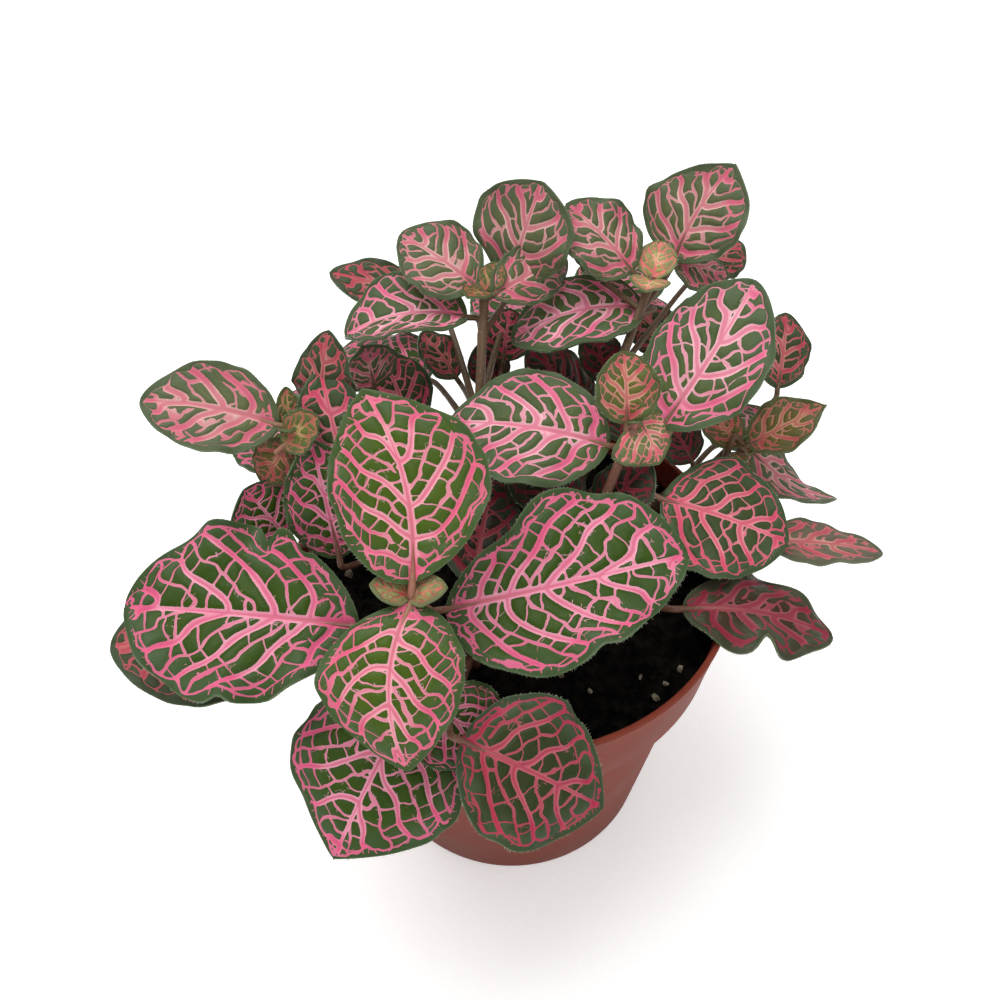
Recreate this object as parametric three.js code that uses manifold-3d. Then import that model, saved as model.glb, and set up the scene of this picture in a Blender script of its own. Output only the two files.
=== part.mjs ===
// A potted nerve plant: leafy stems with opposite pairs of waved leaves, standing in holes in the soil
// of a small plastic nursery pot. Millimetres, +Z up, origin at the middle of the pot's base.
import * as THREE from "three";
import { mergeVertices } from "three/addons/utils/BufferGeometryUtils.js";
import Module from "manifold-3d";

const wasm = await Module();
wasm.setup();

// ---- driving dimensions ----
const clearance = 0.3; // between pieces that touch
const tiny = 0.01; // far less than any detail

const pot = {
  height: 72.7,
  baseRadius: 30,
  neckRadius: 38.5, // under the lip
  lipLowRadius: 41.3,
  lipTopRadius: 43.8,
  lipHeight: 16,
  wall: 1.3,
  floor: 1.8,
  baseRounding: 1.6,
  baseFlare: 0.2, // how far the base's edge stands out
  lipEdge: 0.4, // the bevel under the lip
  sides: 60,
  drainHoles: 6,
  drainRadius: 3.2,
  drainCircle: 19,
  drainSides: 20,
};

const soil = {
  level: 67.2, // the surface, a little under the pot's rim
  crown: 1.6, // how much higher its middle is
  bump: 0.55, // height of the lumps
  lumpPitch: 10, // about from one lump to the next
  rings: 7,
  sides: 40,
  holeDepth: 9,
  holeRadius: 2.2,
  holeSides: 14,
};

const stem = { footRadius: 1.5, tipRadius: 0.95, sides: 6, steps: 6, bow: 0.1 };
const petiole = {
  radius: 0.85,
  taper: 0.8, // its end's radius as a share of its start's
  sides: 5,
  steps: 3,
  underBlade: 2.5, // how far it follows the blade from underneath
  approach: 0.8, // how far before the blade it is in line with it, in lengths of underBlade
};
const blade = {
  thickness: 0.7,
  roundness: 0.62, // power of the outline: rounder when smaller
  foldNarrows: 0.8, // how much of the fold's angle narrows the blade
  foldCurve: 1.35, // power of the fold's rise from the midrib to the edge
  waveEase: 5.2, // how soon the waves start after the base and stop before the tip
  waveShift: 2.1, // radians between the waves of the two edges
};
// The rows and columns of faces on a blade, by its length.
const bladeSteps = [
  { upTo: 11, rows: 4, columns: 2 },
  { upTo: 23, rows: 5, columns: 4 },
  { upTo: 60, rows: 7, columns: 4 },
];
const budLeaf = { length: 7, width: 6.5, rise: 22, arch: 20, fold: 8, wave: 0.15, sunk: 0.5 };

// Each leafy stem: where it leaves the soil, where it ends, the heading of its end bud's pair, what its
// bud leaves change in budLeaf, and its leaves. A leaf has the height on the stem that its stalk leaves
// from (0 at the soil, 1 at the bud), the base and tip of its blade, and the blade's greatest width.
// In degrees: roll about the line from base to tip, twist from one to the other, arch along the midrib,
// fold of the two halves (up when positive). In millimetres: sweep of the midrib to its right, wave of
// the edges, with crests waves along each edge from phase on. peak moves the widest place towards the
// tip, and slant does so more on the right half. skew makes the right half wider, point sharpens the tip.
const leafyStems = [
  {
    name: "stem_front",
    foot: [-7, -21],
    bud: [-17.5, -28.5, 99],
    budHeading: 178,
    leaves: [
      { at: 0.97, base: [-17, -27.5, 101], tip: [-26.5, 1, 119], width: 27.5, roll: -4, arch: 24, fold: 6,
        sweep: 3, skew: 0.06, wave: 0.7, crests: 1.5, phase: 1, point: 0.3 },
      { at: 0.96, base: [-17, -30, 99], tip: [-17, -53, 83], width: 25, arch: 55, fold: -12,
        sweep: 3.2, phase: 1.5, peak: 0.85, point: 0.25 },
      { at: 0.84, base: [-27, -27, 88], tip: [-70, -22, 86], width: 33.5, roll: -22, arch: 20, fold: 4,
        wave: 2, crests: 3, phase: 2, peak: 1.05 },
      { at: 0.84, base: [-12, -23, 88], tip: [32, -11.5, 90], width: 33.5, roll: 16, arch: 22, fold: 4,
        sweep: 1, wave: 1.8, phase: 0.3, peak: 0.95, slant: -0.3, skew: -0.05 },
      { at: 0.62, base: [-17.5, -36, 79], tip: [-31, -58, 61], width: 33, roll: -8, arch: 25, fold: -6,
        wave: 1.2, peak: 0.85, point: 0.45 },
      { at: 0.6, base: [-14, -36, 82], tip: [-4.5, -46, 73.5], width: 18, roll: 14, arch: 35, fold: -8 },
      { at: 0.4, base: [-8.5, -45.5, 81], tip: [16.5, -50.5, 67], width: 27, roll: 24, arch: 30,
        wave: 0.9, phase: 1, peak: 0.85, point: 0.4 },
      { at: 0.4, base: [-40, -20, 75], tip: [-76, -21, 72], width: 27, roll: -14, wave: 1, phase: 1 },
      { at: 0.62, base: [-8, -6, 73], tip: [-4.5, 15.5, 81], width: 17, roll: 10, phase: 1 },
    ],
  },
  {
    name: "stem_left",
    foot: [-24, 6],
    bud: [-43, 13, 96],
    budHeading: 100,
    budShape: { length: 8.5, width: 5, rise: 45 },
    leaves: [
      { at: 0.96, base: [-45, 12.6, 98], tip: [-71.5, 15.2, 101.5], width: 18.5, roll: -24, fold: 4,
        sweep: 0.8, wave: 0.5 },
      { at: 0.9, base: [-37, 16.5, 98], tip: [-34.9, 21.6, 114], width: 12.5, roll: 10, arch: 50,
        fold: -12, phase: 1, peak: 0.6 },
      { at: 0.7, base: [-30.5, 1, 88], tip: [-37, 19, 107], width: 15, roll: -10, arch: 35, wave: 1,
        phase: 2 },
      { at: 0.35, base: [-33.5, -4.5, 79], tip: [-38, 6.5, 100], width: 16, roll: -4, fold: -4,
        phase: 1 },
      { at: 0.5, base: [-44.5, 1.5, 77], tip: [-52, 5, 88], width: 18, roll: -20, arch: 30, wave: 0.6 },
      { at: 0.97, base: [-43, 11.5, 95], tip: [-49, 7.5, 87], width: 9.5, roll: -40, wave: 0.4 },
      { at: 0.97, base: [-43.5, 7, 98], tip: [-36.5, 9, 104], width: 9, roll: 20, wave: 0.3 },
      { at: 0.7, base: [-29.5, 34.5, 87], tip: [-31, 37, 96.5], width: 14, roll: 10, wave: 0.4 },
      { at: 0.6, base: [-36, 17, 80], tip: [-60, 33, 76], width: 20, arch: 30 },
      { at: 0.6, base: [-33, 20, 82], tip: [-48, 43, 78], width: 17, arch: 30, phase: 2 },
    ],
  },
  {
    name: "stem_back_left",
    foot: [-8, 16],
    bud: [-6.5, 46, 104],
    budHeading: 60,
    leaves: [
      { at: 0.97, base: [-8, 47, 104], tip: [-24, 55, 111], width: 18, roll: -15, arch: 25, fold: 2,
        wave: 0.7 },
      { at: 0.97, base: [-5, 44.5, 104], tip: [10.5, 59.5, 102], width: 12.5, roll: 34, arch: 35,
        fold: -4, wave: 0.6 },
      { at: 0.85, base: [-1.5, 53, 99], tip: [5, 60.6, 120], width: 24.5, roll: 4, fold: 6, phase: 1,
        peak: 1.25 },
      { at: 0.85, base: [-10, 43.5, 99], tip: [-35.4, 41, 95.5], width: 20, arch: 60, fold: 18,
        wave: 0.6 },
      { at: 0.6, base: [-19, 61, 88], tip: [-41.5, 66, 92], width: 12, roll: -20, arch: 30, wave: 0.6 },
      { at: 0.4, base: [-22, 34, 76], tip: [-28.5, 44.5, 88], width: 15, roll: -10 },
      { at: 0.5, base: [-2.8, 47.5, 83], tip: [-1.4, 54.5, 92], width: 12, roll: 10 },
      { at: 0.62, base: [-3, 52, 88], tip: [4, 78, 82], width: 17, arch: 35 },
      { at: 0.55, base: [-19, 46, 79], tip: [-39, 61, 75], width: 18, arch: 30, phase: 2 },
      { at: 0.6, base: [-12.7, 44.2, 81], tip: [-20.5, 51.1, 88], width: 11, roll: 10, wave: 0.4 },
      { at: 0.5, base: [-3.8, 44, 79], tip: [-8.2, 49.5, 86], width: 10, roll: -10, wave: 0.4 },
    ],
  },
  {
    name: "stem_back_right",
    foot: [12, 16],
    bud: [28, 50.5, 104],
    budHeading: 75,
    budShape: { length: 9, width: 8.5, rise: 20 },
    leaves: [
      { at: 0.97, base: [24, 51, 105], tip: [10, 59, 116], width: 19, roll: -8, arch: 25 },
      { at: 0.88, base: [33, 57.5, 103], tip: [44.4, 66.1, 121], width: 24, roll: 6, fold: 4, sweep: -1,
        phase: 1, peak: 0.85, slant: 0.2, point: 0.2 },
      { at: 0.97, base: [33, 58, 102], tip: [45, 57, 99], width: 12, roll: 10, arch: 35, fold: -8,
        wave: 0.5 },
      { at: 0.88, base: [26.8, 48.1, 98], tip: [-1, 46, 90.5], width: 20.5, roll: -4, arch: 60,
        fold: 10, skew: -0.16, wave: 0.5 },
      { at: 0.7, base: [40.5, 65.5, 94], tip: [50, 73, 96], width: 12, roll: 10, arch: 30, fold: -8,
        wave: 0.5 },
      { at: 0.5, base: [16.5, 40, 76], tip: [2.5, 48.5, 86], width: 17, fold: -8, wave: 0.5 },
      { at: 0.7, base: [26, 57, 90], tip: [20, 81, 84], width: 21, arch: 35, phase: 1 },
      { at: 0.6, base: [33, 50, 88], tip: [57, 60, 82], width: 20, arch: 35, phase: 2 },
      { at: 0.9, base: [18, 53.5, 102], tip: [12.5, 60.5, 107], width: 8, wave: 0.4 },
      { at: 0.6, base: [33, 46.2, 86], tip: [27, 56.1, 92], width: 13, wave: 0.5, phase: 1 },
      { at: 0.5, base: [20, 44, 80], tip: [16.6, 55.1, 87], width: 10, wave: 0.4 },
      { at: 0.35, base: [23, 24, 82], tip: [24, 35, 90], width: 15, wave: 0.5, phase: 1 },
      { at: 0.6, base: [29.4, 37.5, 84], tip: [26.2, 42, 90], width: 8, wave: 0.3 },
    ],
  },
  {
    name: "stem_back_low",
    foot: [3, 31],
    bud: [7, 55, 84],
    budHeading: 20,
    leaves: [
      { at: 0.95, base: [8, 58, 83], tip: [10, 83, 76], width: 22, arch: 35 },
      { at: 0.95, base: [14, 62, 80], tip: [36, 78, 74], width: 15, arch: 30, phase: 2 },
      { at: 0.8, base: [1, 60, 78], tip: [-8, 84, 72], width: 14, arch: 35, phase: 1 },
    ],
  },
  {
    name: "stem_middle",
    foot: [13, 1],
    bud: [23, 15, 96],
    budHeading: 90,
    budShape: { length: 4, width: 3.2, rise: 60 },
    leaves: [
      { at: 0.97, base: [21.5, 15, 97], tip: [20.5, 23.5, 108], width: 13, roll: 2, arch: 35, fold: 14,
        wave: 0.4 },
      { at: 0.97, base: [23.8, 16.8, 96.5], tip: [28.3, 12, 88.8], width: 17, arch: 35, fold: -10,
        wave: 0.5, peak: 0.75, point: 0.3 },
      { at: 0.88, base: [28.5, 18, 93], tip: [47, 40, 112], width: 24, roll: 6, arch: 18, fold: 4,
        sweep: 1, wave: 0.9, phase: 2 },
      { at: 0.88, base: [18.5, 14, 92], tip: [-13, 20.5, 91], width: 25, roll: -20, arch: 50 },
      { at: 0.6, base: [11, 10, 76], tip: [2, 20, 86], width: 18, wave: 0.9, phase: 1 },
      { at: 0.5, base: [17, 6, 80], tip: [27, 14, 87], width: 13, wave: 0.6, phase: 2 },
    ],
  },
  {
    name: "stem_right",
    foot: [30, 19],
    bud: [46.5, 21.5, 82],
    budHeading: 60,
    budShape: { length: 5, width: 4 },
    leaves: [
      { at: 0.97, base: [47.5, 22.9, 83], tip: [62.7, 27, 91], width: 12, roll: 14, arch: 10, fold: 10,
        wave: 0.5, point: 0.5 },
      { at: 0.97, base: [46, 22.8, 83], tip: [38.9, 30.2, 87], width: 9, roll: -10, arch: 10, wave: 0.3 },
      { at: 0.85, base: [46.1, 23.3, 84], tip: [67.2, 18.7, 72], width: 12, twist: -85, arch: -50,
        wave: 0.5 },
      { at: 0.7, base: [55.5, 38.9, 84], tip: [57, 50.5, 95], width: 12.5, roll: 20 },
      { at: 0.5, base: [43, 30, 76], tip: [59, 44, 70], width: 17, arch: 30, phase: 1 },
      { at: 0.7, base: [36.5, 21, 80], tip: [31.5, 26.5, 86], width: 11, wave: 0.4 },
    ],
  },
  {
    name: "stem_right_low",
    foot: [20, -5],
    bud: [26, 5, 79],
    budHeading: 120,
    budShape: { length: 4, width: 3.2 },
    leaves: [
      { at: 0.95, base: [28.9, 7.4, 84], tip: [53.5, 0.5, 79], width: 26, roll: 16, arch: 30, fold: -4,
        wave: 0.9, phase: 1 },
      { at: 0.7, base: [47, 2.9, 76.5], tip: [75.5, 7.1, 68.5], width: 12.5, roll: -6, arch: 10,
        sweep: -0.8, wave: 0.5 },
      { at: 0.3, base: [32.2, -13.3, 76], tip: [62.5, -13.1, 67], width: 18, roll: 6, arch: 30, fold: -6,
        sweep: -1.2, wave: 1.6, crests: 2.5 },
    ],
  },
];

// ---- small helpers ----
const vec = (p) => new THREE.Vector3(...p);
const radians = THREE.MathUtils.degToRad;

// A closed three.js geometry as a manifold-3d solid.
function solidOf(geometry) {
  const bare = geometry.clone();
  bare.deleteAttribute("normal");
  bare.deleteAttribute("uv");
  const merged = mergeVertices(bare, 1e-4);
  return new wasm.Manifold(
    new wasm.Mesh({
      numProp: 3,
      vertProperties: new Float32Array(merged.attributes.position.array),
      triVerts: new Uint32Array(merged.index.array),
    }),
  );
}

// A manifold-3d solid as a three.js geometry.
function geometryOf(solid) {
  const mesh = solid.getMesh();
  const geometry = new THREE.BufferGeometry();
  geometry.setAttribute("position", new THREE.BufferAttribute(mesh.vertProperties, 3));
  geometry.setIndex(new THREE.BufferAttribute(mesh.triVerts, 1));
  geometry.computeVertexNormals();
  return geometry;
}

// The outer body alone, so that a small hollow closed in by fused pieces is filled.
function withoutHollows(solid) {
  return solid.decompose().reduce((most, body) => (body.volume() > most.volume() ? body : most));
}

function namedMesh(name, solid, material) {
  const mesh = new THREE.Mesh(geometryOf(solid), material);
  mesh.name = name;
  return mesh;
}

// A round bar of a few sides along a curve, its thickness easing from one radius to the other.
function barAlong(curve, steps, sides, startRadius, endRadius) {
  const corners = [];
  for (let k = 0; k < sides; k++) {
    const angle = (2 * Math.PI * k) / sides;
    corners.push(new THREE.Vector2(Math.cos(angle), Math.sin(angle)));
  }
  const section = new THREE.Shape(corners);
  const bar = new THREE.ExtrudeGeometry(section, { steps, bevelEnabled: false, extrudePath: curve });
  const rings = curve.getSpacedPoints(steps);
  const place = bar.attributes.position;
  const point = new THREE.Vector3();
  for (let i = 0; i < place.count; i++) {
    point.fromBufferAttribute(place, i);
    let ring = 0;
    rings.forEach((centre, k) => {
      if (point.distanceTo(centre) < point.distanceTo(rings[ring])) ring = k;
    });
    const radius = THREE.MathUtils.lerp(startRadius, endRadius, ring / steps);
    point.sub(rings[ring]).multiplyScalar(radius).add(rings[ring]);
    place.setXYZ(i, point.x, point.y, point.z);
  }
  return solidOf(bar);
}

// ---- the pot and the soil ----
function innerRadius(z) {
  const neck = pot.height - pot.lipHeight;
  if (z < neck) return THREE.MathUtils.mapLinear(z, 0, neck, pot.baseRadius, pot.neckRadius) - pot.wall;
  return THREE.MathUtils.mapLinear(z, neck, pot.height, pot.lipLowRadius, pot.lipTopRadius) - pot.wall;
}

function turned(points, sides) {
  const profile = points.map(([r, z]) => new THREE.Vector2(r, z));
  return new THREE.LatheGeometry(profile, sides).rotateX(Math.PI / 2);
}

function makePot() {
  const neck = pot.height - pot.lipHeight;
  const rim = pot.wall / 2;
  const rounding = pot.baseRounding;
  const shell = solidOf(
    turned(
      [
        [0, 0],
        [pot.baseRadius - rounding, 0],
        [pot.baseRadius - rounding / 3, rounding / 3],
        [pot.baseRadius + pot.baseFlare, rounding],
        [pot.neckRadius, neck - pot.wall],
        [pot.lipLowRadius - pot.lipEdge, neck - pot.wall],
        [pot.lipLowRadius, neck - pot.wall + pot.lipEdge],
        [pot.lipTopRadius, pot.height - rim],
        [pot.lipTopRadius - rim / 2, pot.height],
        [innerRadius(pot.height) + rim / 2, pot.height],
        [innerRadius(pot.height), pot.height - rim],
        [innerRadius(neck), neck],
        [innerRadius(neck - tiny), neck],
        [innerRadius(pot.floor), pot.floor],
        [0, pot.floor],
      ],
      pot.sides,
    ),
  );
  let finished = shell;
  for (let i = 0; i < pot.drainHoles; i++) {
    const angle = (2 * Math.PI * i) / pot.drainHoles;
    const { drainRadius, floor, drainSides } = pot;
    const hole = new THREE.CylinderGeometry(drainRadius, drainRadius, 3 * floor, drainSides);
    hole.rotateX(Math.PI / 2);
    hole.translate(pot.drainCircle * Math.cos(angle), pot.drainCircle * Math.sin(angle), 0);
    finished = finished.subtract(solidOf(hole));
  }
  return finished;
}

// The height of the soil's surface: a low crown with lumps.
function soilHeight(x, y) {
  const out = Math.hypot(x, y) / pot.neckRadius;
  const turn = (2 * Math.PI) / soil.lumpPitch;
  const large = Math.sin(turn * x + Math.sin((turn * y) / 2)) * Math.cos(turn * y + 1);
  const small = Math.sin(turn * (2 * x - y) + 2) / 2;
  return soil.level + soil.crown * (1 - out * out) + soil.bump * (large + small);
}

function makeSoil() {
  const neck = pot.height - pot.lipHeight;
  const edge = innerRadius(soil.level) - clearance;
  const points = [
    [0, pot.floor + clearance],
    [innerRadius(pot.floor) - clearance, pot.floor + clearance],
    [innerRadius(neck - tiny) - clearance, neck + clearance],
    [innerRadius(neck) - clearance, neck + clearance],
  ];
  for (let i = soil.rings; i >= 0; i--) points.push([(edge * i) / soil.rings, soil.level]);
  const plug = turned(points, soil.sides);
  const place = plug.attributes.position;
  for (let i = 0; i < place.count; i++) {
    if (place.getZ(i) > soil.level - tiny) place.setZ(i, soilHeight(place.getX(i), place.getY(i)));
  }
  let ground = solidOf(plug);
  for (const { foot } of leafyStems) {
    const { holeRadius, holeDepth, holeSides } = soil;
    const hole = new THREE.CylinderGeometry(holeRadius, holeRadius, 2 * holeDepth, holeSides);
    hole.rotateX(Math.PI / 2);
    hole.translate(foot[0], foot[1], soil.level);
    ground = ground.subtract(solidOf(hole));
  }
  return ground;
}

// ---- leaves ----
const leafDefaults = {
  roll: 0,
  twist: 0,
  arch: 20,
  fold: 0,
  sweep: 0,
  wave: 0.8,
  crests: 2,
  phase: 0,
  peak: 0.9,
  slant: 0,
  skew: 0,
  point: 0,
};

// The share of its greatest width that a blade has at u along the midrib, on the side that t is on.
function outline({ peak, slant, point }, u, t) {
  if (u <= 0 || u >= 1) return 0;
  return Math.sin(Math.PI * u ** (peak + slant * t)) ** (blade.roundness + point * u * u);
}

// A function that gives the point of a leaf's middle surface at u along and t across it.
function bladeSurface(given) {
  const leaf = { ...leafDefaults, ...given };
  const base = vec(leaf.base);
  const along = vec(leaf.tip).sub(base);
  const chord = along.length();
  along.normalize();
  const flatUp = new THREE.Vector3(0, 0, 1).addScaledVector(along, -along.z).normalize();
  const turn = radians(leaf.arch);
  const radius = chord / (2 * Math.sin(turn / 2));
  const fold = radians(leaf.fold);
  return (u, t) => {
    const up = flatUp.clone().applyAxisAngle(along, radians(leaf.roll + leaf.twist * (u - 0.5)));
    const right = new THREE.Vector3().crossVectors(along, up);
    const angle = turn / 2 - turn * u;
    const face = along.clone().multiplyScalar(-Math.sin(angle)).addScaledVector(up, Math.cos(angle));
    const half = (leaf.width / 2) * outline(leaf, u, t);
    const across = half * (t + leaf.skew * t * t) * Math.cos(blade.foldNarrows * fold);
    const side = across + leaf.sweep * 4 * u * (1 - u);
    const edgePhase = leaf.phase + (t < 0 ? blade.waveShift : 0);
    const ease = Math.min(1, blade.waveEase * u * (1 - u));
    const wave = leaf.wave * ease * t * t * Math.sin(2 * Math.PI * leaf.crests * u + edgePhase);
    const lift = half * Math.abs(t) ** blade.foldCurve * Math.sin(fold) + wave;
    return base
      .clone()
      .addScaledVector(along, radius * (Math.sin(turn / 2) - Math.sin(angle)))
      .addScaledVector(up, radius * (Math.cos(angle) - Math.cos(turn / 2)))
      .addScaledVector(right, side)
      .addScaledVector(face, lift);
  };
}

// The blade as a thin closed solid: the same triangles on its two faces, joined round the edge.
function makeBlade(leaf) {
  const surface = bladeSurface(leaf);
  const length = vec(leaf.base).distanceTo(vec(leaf.tip));
  const { rows, columns } = bladeSteps.find(({ upTo }) => length < upTo);
  const step = 0.02;
  const points = [];
  const upper = [];
  const lower = [];
  for (let i = 0; i <= rows; i++) {
    const u = (1 - Math.cos((Math.PI * i) / rows)) / 2;
    const isEnd = i === 0 || i === rows;
    upper.push([]);
    lower.push([]);
    for (let j = 0; j <= columns; j++) {
      const t = isEnd ? 0 : (2 * j) / columns - 1;
      if (!isEnd || j === 0) {
        // The blade narrows to a point at its ends, so their normals are taken a little inside.
        const inner = THREE.MathUtils.clamp(u, 2 * step, 1 - 2 * step);
        const lengthwise = surface(inner + step, t).sub(surface(inner - step, t));
        const crosswise = surface(inner, t + step).sub(surface(inner, t - step));
        const normal = crosswise.cross(lengthwise).normalize();
        const middle = surface(u, t);
        points.push(middle.clone().addScaledVector(normal, blade.thickness / 2));
        points.push(middle.clone().addScaledVector(normal, -blade.thickness / 2));
      }
      upper[i].push(points.length - 2);
      lower[i].push(points.length - 1);
    }
  }
  const index = [];
  const quad = (a, b, c, d) => index.push(a, b, c, a, c, d);
  for (let i = 0; i < rows; i++) {
    for (let j = 0; j < columns; j++) {
      quad(upper[i][j], upper[i][j + 1], upper[i + 1][j + 1], upper[i + 1][j]);
      quad(lower[i][j], lower[i + 1][j], lower[i + 1][j + 1], lower[i][j + 1]);
    }
    quad(upper[i][0], upper[i + 1][0], lower[i + 1][0], lower[i][0]);
    quad(upper[i][columns], lower[i][columns], lower[i + 1][columns], upper[i + 1][columns]);
  }
  const whole = [];
  for (let k = 0; k < index.length; k += 3) {
    const [a, b, c] = index.slice(k, k + 3);
    if (a !== b && b !== c && c !== a) whole.push(a, b, c);
  }
  const geometry = new THREE.BufferGeometry().setFromPoints(points);
  geometry.setIndex(whole);
  return solidOf(geometry);
}

// The stalk from the stem to the blade, which it follows a little way underneath.
function makePetiole(leaf, curve) {
  const surface = bladeSurface(leaf);
  const length = vec(leaf.base).distanceTo(vec(leaf.tip));
  const start = curve.getPoint(leaf.at);
  const foot = surface(0, 0);
  const under = surface(Math.min(1 / 3, petiole.underBlade / length), 0);
  const inward = foot.clone().lerp(under, -petiole.approach);
  const path = new THREE.CatmullRomCurve3([start, inward, foot, under]);
  return barAlong(path, petiole.steps, petiole.sides, petiole.radius, petiole.radius * petiole.taper);
}

// ---- leafy stems ----
function stemCurve({ foot, bud }) {
  const bottom = soil.level - soil.holeDepth + clearance;
  const top = vec(bud);
  const ground = new THREE.Vector3(foot[0], foot[1], bottom);
  const neck = new THREE.Vector3(foot[0], foot[1], soil.level + soil.crown);
  const bend = neck.clone().lerp(top, 0.5);
  bend.z += stem.bow * Math.hypot(bud[0] - foot[0], bud[1] - foot[1]);
  return new THREE.CatmullRomCurve3([ground, neck, bend, top]);
}

// The two small leaves of the bud, facing each other across the stem's end.
function budPair({ bud, budHeading, budShape }) {
  const { length, rise, sunk, ...shape } = { ...budLeaf, ...budShape };
  return [0, 180].map((turn) => {
    const heading = radians(budHeading + turn);
    const reach = length * Math.cos(radians(rise));
    return {
      ...shape,
      base: [bud[0], bud[1], bud[2] - sunk],
      tip: [
        bud[0] + reach * Math.cos(heading),
        bud[1] + reach * Math.sin(heading),
        bud[2] + length * Math.sin(radians(rise)),
      ],
    };
  });
}

function makeLeafyStem(plan) {
  const curve = stemCurve(plan);
  let plant = barAlong(curve, stem.steps, stem.sides, stem.footRadius, stem.tipRadius);
  for (const leaf of plan.leaves) {
    plant = plant.add(makePetiole(leaf, curve)).add(makeBlade(leaf));
  }
  for (const leaf of budPair(plan)) plant = plant.add(makeBlade(leaf));
  return withoutHollows(plant);
}

// ---- materials ----
const potPlastic = () => new THREE.MeshStandardMaterial({ color: 0x9a5142, roughness: 0.55 });
const darkSoil = () => new THREE.MeshStandardMaterial({ color: 0x14100d, roughness: 0.95 });
const veinedLeaf = () => new THREE.MeshStandardMaterial({ color: 0x4f6a33, roughness: 0.45 });

// ---- the potted plant ----
const pottedPlant = new THREE.Group();
pottedPlant.add(namedMesh("pot", makePot(), potPlastic()));
pottedPlant.add(namedMesh("soil", makeSoil(), darkSoil()));
for (const plan of leafyStems) pottedPlant.add(namedMesh(plan.name, makeLeafyStem(plan), veinedLeaf()));

export default pottedPlant;
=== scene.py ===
import math
import random

import bpy
import numpy as np
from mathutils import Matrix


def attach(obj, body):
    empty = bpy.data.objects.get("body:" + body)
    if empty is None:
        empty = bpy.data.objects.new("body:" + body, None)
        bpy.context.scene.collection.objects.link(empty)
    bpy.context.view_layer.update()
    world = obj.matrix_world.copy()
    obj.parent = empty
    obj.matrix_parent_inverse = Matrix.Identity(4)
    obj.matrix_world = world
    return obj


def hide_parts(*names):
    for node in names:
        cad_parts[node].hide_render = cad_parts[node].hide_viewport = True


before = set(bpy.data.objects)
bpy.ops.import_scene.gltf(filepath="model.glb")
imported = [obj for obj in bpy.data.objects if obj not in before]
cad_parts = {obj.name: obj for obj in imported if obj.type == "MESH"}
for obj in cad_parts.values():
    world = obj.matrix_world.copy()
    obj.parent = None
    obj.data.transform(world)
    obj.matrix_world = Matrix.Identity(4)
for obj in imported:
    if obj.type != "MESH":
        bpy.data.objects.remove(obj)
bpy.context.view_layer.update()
mm = 0.001
dice = random.Random(11)
hairDice = random.Random(5)
grainDice = random.Random(7)
print("frame loaded")


def deselectAll():
    if bpy.context.object and bpy.context.object.mode != "OBJECT":
        bpy.ops.object.mode_set(mode="OBJECT")
    bpy.ops.object.select_all(action="DESELECT")


def pick(piece):
    deselectAll()
    piece.select_set(True)
    bpy.context.view_layer.objects.active = piece


def settle(piece, node):  # a finished piece takes its node's place
    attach(piece, "root")
    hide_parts(node)


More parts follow.
